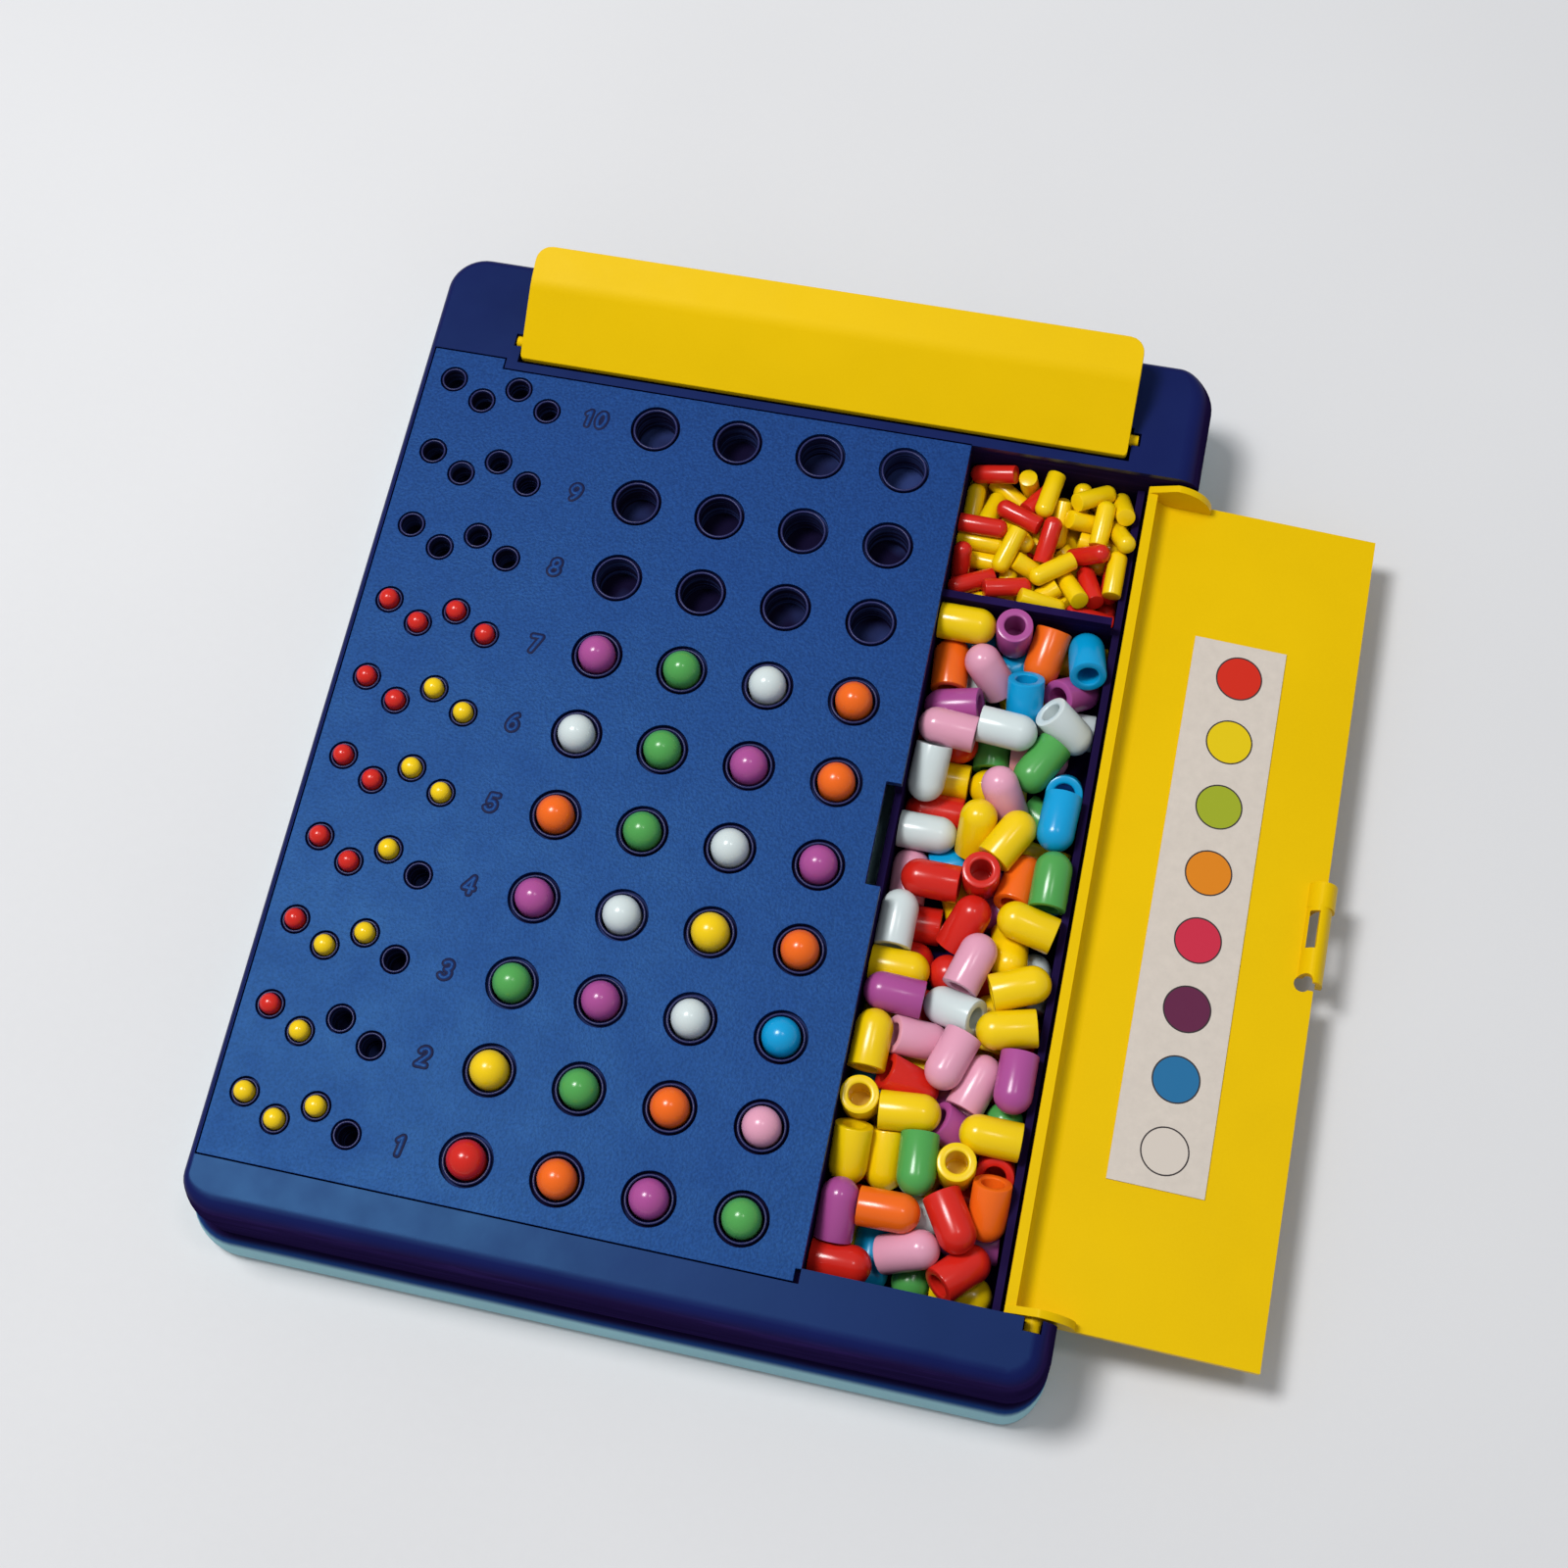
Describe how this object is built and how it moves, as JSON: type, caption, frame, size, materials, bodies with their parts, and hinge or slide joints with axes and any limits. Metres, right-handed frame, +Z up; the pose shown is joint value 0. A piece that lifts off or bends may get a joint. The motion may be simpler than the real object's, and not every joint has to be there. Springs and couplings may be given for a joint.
{
  "type": "code breaking peg game",
  "caption": "Travel-size code breaking board: rows of peg sockets, plug-in code and key pegs, flip-up code shield, hinged lid over peg storage.",
  "frame": {"origin": "on the flat underside of the bottom cover, on the table, under the centre of the tray's outline", "axes": "+X towards the storage side and the open lid, +Y away from the code breaker towards the code shield, +Z up"},
  "size_m": [0.2118, 0.2169, 0.0368],
  "materials": {
    "panel_blue": "fine pebble grain, semi matte",
    "tray_navy": "satin gloss moulding",
    "cover_light_blue": "satin gloss moulding",
    "yellow": "satin moulding with fine grain",
    "strip_paper": "printed paper sticker, matte",
    "peg_blue": "glossy moulding",
    "peg_green": "glossy moulding",
    "peg_orange": "glossy moulding",
    "peg_pink": "glossy moulding",
    "peg_purple": "glossy moulding",
    "peg_red": "glossy moulding",
    "peg_white": "glossy moulding",
    "peg_yellow": "glossy moulding"
  },
  "bodies": {
    "root": {"base_tray": "tray_navy", "bottom_cover": "cover_light_blue", "peg_panel": "panel_blue"},
    "storage_lid": {"storage_lid": "yellow", "colour_strip": "strip_paper"},
    "code_shield": {"code_shield": "yellow"},
    "code_peg_row1_1_red": {"code_peg_row1_1_red": "peg_red"},
    "code_peg_row1_2_orange": {"code_peg_row1_2_orange": "peg_orange"},
    "code_peg_row1_3_purple": {"code_peg_row1_3_purple": "peg_purple"},
    "code_peg_row1_4_green": {"code_peg_row1_4_green": "peg_green"},
    "code_peg_row2_1_yellow": {"code_peg_row2_1_yellow": "peg_yellow"},
    "code_peg_row2_2_green": {"code_peg_row2_2_green": "peg_green"},
    "code_peg_row2_3_orange": {"code_peg_row2_3_orange": "peg_orange"},
    "code_peg_row2_4_pink": {"code_peg_row2_4_pink": "peg_pink"},
    "code_peg_row3_1_green": {"code_peg_row3_1_green": "peg_green"},
    "code_peg_row3_2_purple": {"code_peg_row3_2_purple": "peg_purple"},
    "code_peg_row3_3_white": {"code_peg_row3_3_white": "peg_white"},
    "code_peg_row3_4_blue": {"code_peg_row3_4_blue": "peg_blue"},
    "code_peg_row4_1_purple": {"code_peg_row4_1_purple": "peg_purple"},
    "code_peg_row4_2_white": {"code_peg_row4_2_white": "peg_white"},
    "code_peg_row4_3_yellow": {"code_peg_row4_3_yellow": "peg_yellow"},
    "code_peg_row4_4_orange": {"code_peg_row4_4_orange": "peg_orange"},
    "code_peg_row5_1_orange": {"code_peg_row5_1_orange": "peg_orange"},
    "code_peg_row5_2_green": {"code_peg_row5_2_green": "peg_green"},
    "code_peg_row5_3_white": {"code_peg_row5_3_white": "peg_white"},
    "code_peg_row5_4_purple": {"code_peg_row5_4_purple": "peg_purple"},
    "code_peg_row6_1_white": {"code_peg_row6_1_white": "peg_white"},
    "code_peg_row6_2_green": {"code_peg_row6_2_green": "peg_green"},
    "code_peg_row6_3_purple": {"code_peg_row6_3_purple": "peg_purple"},
    "code_peg_row6_4_orange": {"code_peg_row6_4_orange": "peg_orange"},
    "code_peg_row7_1_purple": {"code_peg_row7_1_purple": "peg_purple"},
    "code_peg_row7_2_green": {"code_peg_row7_2_green": "peg_green"},
    "code_peg_row7_3_white": {"code_peg_row7_3_white": "peg_white"},
    "code_peg_row7_4_orange": {"code_peg_row7_4_orange": "peg_orange"},
    "key_peg_row1_1_yellow": {"key_peg_row1_1_yellow": "peg_yellow"},
    "key_peg_row1_2_yellow": {"key_peg_row1_2_yellow": "peg_yellow"},
    "key_peg_row1_3_yellow": {"key_peg_row1_3_yellow": "peg_yellow"},
    "key_peg_row2_1_red": {"key_peg_row2_1_red": "peg_red"},
    "key_peg_row2_2_yellow": {"key_peg_row2_2_yellow": "peg_yellow"},
    "key_peg_row3_1_red": {"key_peg_row3_1_red": "peg_red"},
    "key_peg_row3_2_yellow": {"key_peg_row3_2_yellow": "peg_yellow"},
    "key_peg_row3_3_yellow": {"key_peg_row3_3_yellow": "peg_yellow"},
    "key_peg_row4_1_red": {"key_peg_row4_1_red": "peg_red"},
    "key_peg_row4_2_red": {"key_peg_row4_2_red": "peg_red"},
    "key_peg_row4_3_yellow": {"key_peg_row4_3_yellow": "peg_yellow"},
    "key_peg_row5_1_red": {"key_peg_row5_1_red": "peg_red"},
    "key_peg_row5_2_red": {"key_peg_row5_2_red": "peg_red"},
    "key_peg_row5_3_yellow": {"key_peg_row5_3_yellow": "peg_yellow"},
    "key_peg_row5_4_yellow": {"key_peg_row5_4_yellow": "peg_yellow"},
    "key_peg_row6_1_red": {"key_peg_row6_1_red": "peg_red"},
    "key_peg_row6_2_red": {"key_peg_row6_2_red": "peg_red"},
    "key_peg_row6_3_yellow": {"key_peg_row6_3_yellow": "peg_yellow"},
    "key_peg_row6_4_yellow": {"key_peg_row6_4_yellow": "peg_yellow"},
    "key_peg_row7_1_red": {"key_peg_row7_1_red": "peg_red"},
    "key_peg_row7_2_red": {"key_peg_row7_2_red": "peg_red"},
    "key_peg_row7_3_red": {"key_peg_row7_3_red": "peg_red"},
    "key_peg_row7_4_red": {"key_peg_row7_4_red": "peg_red"}
  },
  "joints": [
    {"name": "storage_lid_hinge", "type": "hinge", "parent": "root", "child": "storage_lid", "pos_m": [0.07975, 0, 0.0201], "axis": [0, -1, 0], "range_deg": [0, 185.31]},
    {"name": "code_shield_hinge", "type": "hinge", "parent": "root", "child": "code_shield", "pos_m": [0, 0.0882, 0.0252], "axis": [1, 0, 0], "range_deg": [0, 90]},
    {"name": "code_peg_row1_1_red_lift", "type": "slide", "parent": "root", "child": "code_peg_row1_1_red", "axis": [0, 0, 1], "range_m": [0, 0.012]},
    {"name": "code_peg_row1_2_orange_lift", "type": "slide", "parent": "root", "child": "code_peg_row1_2_orange", "axis": [0, 0, 1], "range_m": [0, 0.012]},
    {"name": "code_peg_row1_3_purple_lift", "type": "slide", "parent": "root", "child": "code_peg_row1_3_purple", "axis": [0, 0, 1], "range_m": [0, 0.012]},
    {"name": "code_peg_row1_4_green_lift", "type": "slide", "parent": "root", "child": "code_peg_row1_4_green", "axis": [0, 0, 1], "range_m": [0, 0.012]},
    {"name": "code_peg_row2_1_yellow_lift", "type": "slide", "parent": "root", "child": "code_peg_row2_1_yellow", "axis": [0, 0, 1], "range_m": [0, 0.012]},
    {"name": "code_peg_row2_2_green_lift", "type": "slide", "parent": "root", "child": "code_peg_row2_2_green", "axis": [0, 0, 1], "range_m": [0, 0.012]},
    {"name": "code_peg_row2_3_orange_lift", "type": "slide", "parent": "root", "child": "code_peg_row2_3_orange", "axis": [0, 0, 1], "range_m": [0, 0.012]},
    {"name": "code_peg_row2_4_pink_lift", "type": "slide", "parent": "root", "child": "code_peg_row2_4_pink", "axis": [0, 0, 1], "range_m": [0, 0.012]},
    {"name": "code_peg_row3_1_green_lift", "type": "slide", "parent": "root", "child": "code_peg_row3_1_green", "axis": [0, 0, 1], "range_m": [0, 0.012]},
    {"name": "code_peg_row3_2_purple_lift", "type": "slide", "parent": "root", "child": "code_peg_row3_2_purple", "axis": [0, 0, 1], "range_m": [0, 0.012]},
    {"name": "code_peg_row3_3_white_lift", "type": "slide", "parent": "root", "child": "code_peg_row3_3_white", "axis": [0, 0, 1], "range_m": [0, 0.012]},
    {"name": "code_peg_row3_4_blue_lift", "type": "slide", "parent": "root", "child": "code_peg_row3_4_blue", "axis": [0, 0, 1], "range_m": [0, 0.012]},
    {"name": "code_peg_row4_1_purple_lift", "type": "slide", "parent": "root", "child": "code_peg_row4_1_purple", "axis": [0, 0, 1], "range_m": [0, 0.012]},
    {"name": "code_peg_row4_2_white_lift", "type": "slide", "parent": "root", "child": "code_peg_row4_2_white", "axis": [0, 0, 1], "range_m": [0, 0.012]},
    {"name": "code_peg_row4_3_yellow_lift", "type": "slide", "parent": "root", "child": "code_peg_row4_3_yellow", "axis": [0, 0, 1], "range_m": [0, 0.012]},
    {"name": "code_peg_row4_4_orange_lift", "type": "slide", "parent": "root", "child": "code_peg_row4_4_orange", "axis": [0, 0, 1], "range_m": [0, 0.012]},
    {"name": "code_peg_row5_1_orange_lift", "type": "slide", "parent": "root", "child": "code_peg_row5_1_orange", "axis": [0, 0, 1], "range_m": [0, 0.012]},
    {"name": "code_peg_row5_2_green_lift", "type": "slide", "parent": "root", "child": "code_peg_row5_2_green", "axis": [0, 0, 1], "range_m": [0, 0.012]},
    {"name": "code_peg_row5_3_white_lift", "type": "slide", "parent": "root", "child": "code_peg_row5_3_white", "axis": [0, 0, 1], "range_m": [0, 0.012]},
    {"name": "code_peg_row5_4_purple_lift", "type": "slide", "parent": "root", "child": "code_peg_row5_4_purple", "axis": [0, 0, 1], "range_m": [0, 0.012]},
    {"name": "code_peg_row6_1_white_lift", "type": "slide", "parent": "root", "child": "code_peg_row6_1_white", "axis": [0, 0, 1], "range_m": [0, 0.012]},
    {"name": "code_peg_row6_2_green_lift", "type": "slide", "parent": "root", "child": "code_peg_row6_2_green", "axis": [0, 0, 1], "range_m": [0, 0.012]},
    {"name": "code_peg_row6_3_purple_lift", "type": "slide", "parent": "root", "child": "code_peg_row6_3_purple", "axis": [0, 0, 1], "range_m": [0, 0.012]},
    {"name": "code_peg_row6_4_orange_lift", "type": "slide", "parent": "root", "child": "code_peg_row6_4_orange", "axis": [0, 0, 1], "range_m": [0, 0.012]},
    {"name": "code_peg_row7_1_purple_lift", "type": "slide", "parent": "root", "child": "code_peg_row7_1_purple", "axis": [0, 0, 1], "range_m": [0, 0.012]},
    {"name": "code_peg_row7_2_green_lift", "type": "slide", "parent": "root", "child": "code_peg_row7_2_green", "axis": [0, 0, 1], "range_m": [0, 0.012]},
    {"name": "code_peg_row7_3_white_lift", "type": "slide", "parent": "root", "child": "code_peg_row7_3_white", "axis": [0, 0, 1], "range_m": [0, 0.012]},
    {"name": "code_peg_row7_4_orange_lift", "type": "slide", "parent": "root", "child": "code_peg_row7_4_orange", "axis": [0, 0, 1], "range_m": [0, 0.012]},
    {"name": "key_peg_row1_1_yellow_lift", "type": "slide", "parent": "root", "child": "key_peg_row1_1_yellow", "axis": [0, 0, 1], "range_m": [0, 0.012]},
    {"name": "key_peg_row1_2_yellow_lift", "type": "slide", "parent": "root", "child": "key_peg_row1_2_yellow", "axis": [0, 0, 1], "range_m": [0, 0.012]},
    {"name": "key_peg_row1_3_yellow_lift", "type": "slide", "parent": "root", "child": "key_peg_row1_3_yellow", "axis": [0, 0, 1], "range_m": [0, 0.012]},
    {"name": "key_peg_row2_1_red_lift", "type": "slide", "parent": "root", "child": "key_peg_row2_1_red", "axis": [0, 0, 1], "range_m": [0, 0.012]},
    {"name": "key_peg_row2_2_yellow_lift", "type": "slide", "parent": "root", "child": "key_peg_row2_2_yellow", "axis": [0, 0, 1], "range_m": [0, 0.012]},
    {"name": "key_peg_row3_1_red_lift", "type": "slide", "parent": "root", "child": "key_peg_row3_1_red", "axis": [0, 0, 1], "range_m": [0, 0.012]},
    {"name": "key_peg_row3_2_yellow_lift", "type": "slide", "parent": "root", "child": "key_peg_row3_2_yellow", "axis": [0, 0, 1], "range_m": [0, 0.012]},
    {"name": "key_peg_row3_3_yellow_lift", "type": "slide", "parent": "root", "child": "key_peg_row3_3_yellow", "axis": [0, 0, 1], "range_m": [0, 0.012]},
    {"name": "key_peg_row4_1_red_lift", "type": "slide", "parent": "root", "child": "key_peg_row4_1_red", "axis": [0, 0, 1], "range_m": [0, 0.012]},
    {"name": "key_peg_row4_2_red_lift", "type": "slide", "parent": "root", "child": "key_peg_row4_2_red", "axis": [0, 0, 1], "range_m": [0, 0.012]},
    {"name": "key_peg_row4_3_yellow_lift", "type": "slide", "parent": "root", "child": "key_peg_row4_3_yellow", "axis": [0, 0, 1], "range_m": [0, 0.012]},
    {"name": "key_peg_row5_1_red_lift", "type": "slide", "parent": "root", "child": "key_peg_row5_1_red", "axis": [0, 0, 1], "range_m": [0, 0.012]},
    {"name": "key_peg_row5_2_red_lift", "type": "slide", "parent": "root", "child": "key_peg_row5_2_red", "axis": [0, 0, 1], "range_m": [0, 0.012]},
    {"name": "key_peg_row5_3_yellow_lift", "type": "slide", "parent": "root", "child": "key_peg_row5_3_yellow", "axis": [0, 0, 1], "range_m": [0, 0.012]},
    {"name": "key_peg_row5_4_yellow_lift", "type": "slide", "parent": "root", "child": "key_peg_row5_4_yellow", "axis": [0, 0, 1], "range_m": [0, 0.012]},
    {"name": "key_peg_row6_1_red_lift", "type": "slide", "parent": "root", "child": "key_peg_row6_1_red", "axis": [0, 0, 1], "range_m": [0, 0.012]},
    {"name": "key_peg_row6_2_red_lift", "type": "slide", "parent": "root", "child": "key_peg_row6_2_red", "axis": [0, 0, 1], "range_m": [0, 0.012]},
    {"name": "key_peg_row6_3_yellow_lift", "type": "slide", "parent": "root", "child": "key_peg_row6_3_yellow", "axis": [0, 0, 1], "range_m": [0, 0.012]},
    {"name": "key_peg_row6_4_yellow_lift", "type": "slide", "parent": "root", "child": "key_peg_row6_4_yellow", "axis": [0, 0, 1], "range_m": [0, 0.012]},
    {"name": "key_peg_row7_1_red_lift", "type": "slide", "parent": "root", "child": "key_peg_row7_1_red", "axis": [0, 0, 1], "range_m": [0, 0.012]},
    {"name": "key_peg_row7_2_red_lift", "type": "slide", "parent": "root", "child": "key_peg_row7_2_red", "axis": [0, 0, 1], "range_m": [0, 0.012]},
    {"name": "key_peg_row7_3_red_lift", "type": "slide", "parent": "root", "child": "key_peg_row7_3_red", "axis": [0, 0, 1], "range_m": [0, 0.012]},
    {"name": "key_peg_row7_4_red_lift", "type": "slide", "parent": "root", "child": "key_peg_row7_4_red", "axis": [0, 0, 1], "range_m": [0, 0.012]}
  ]
}
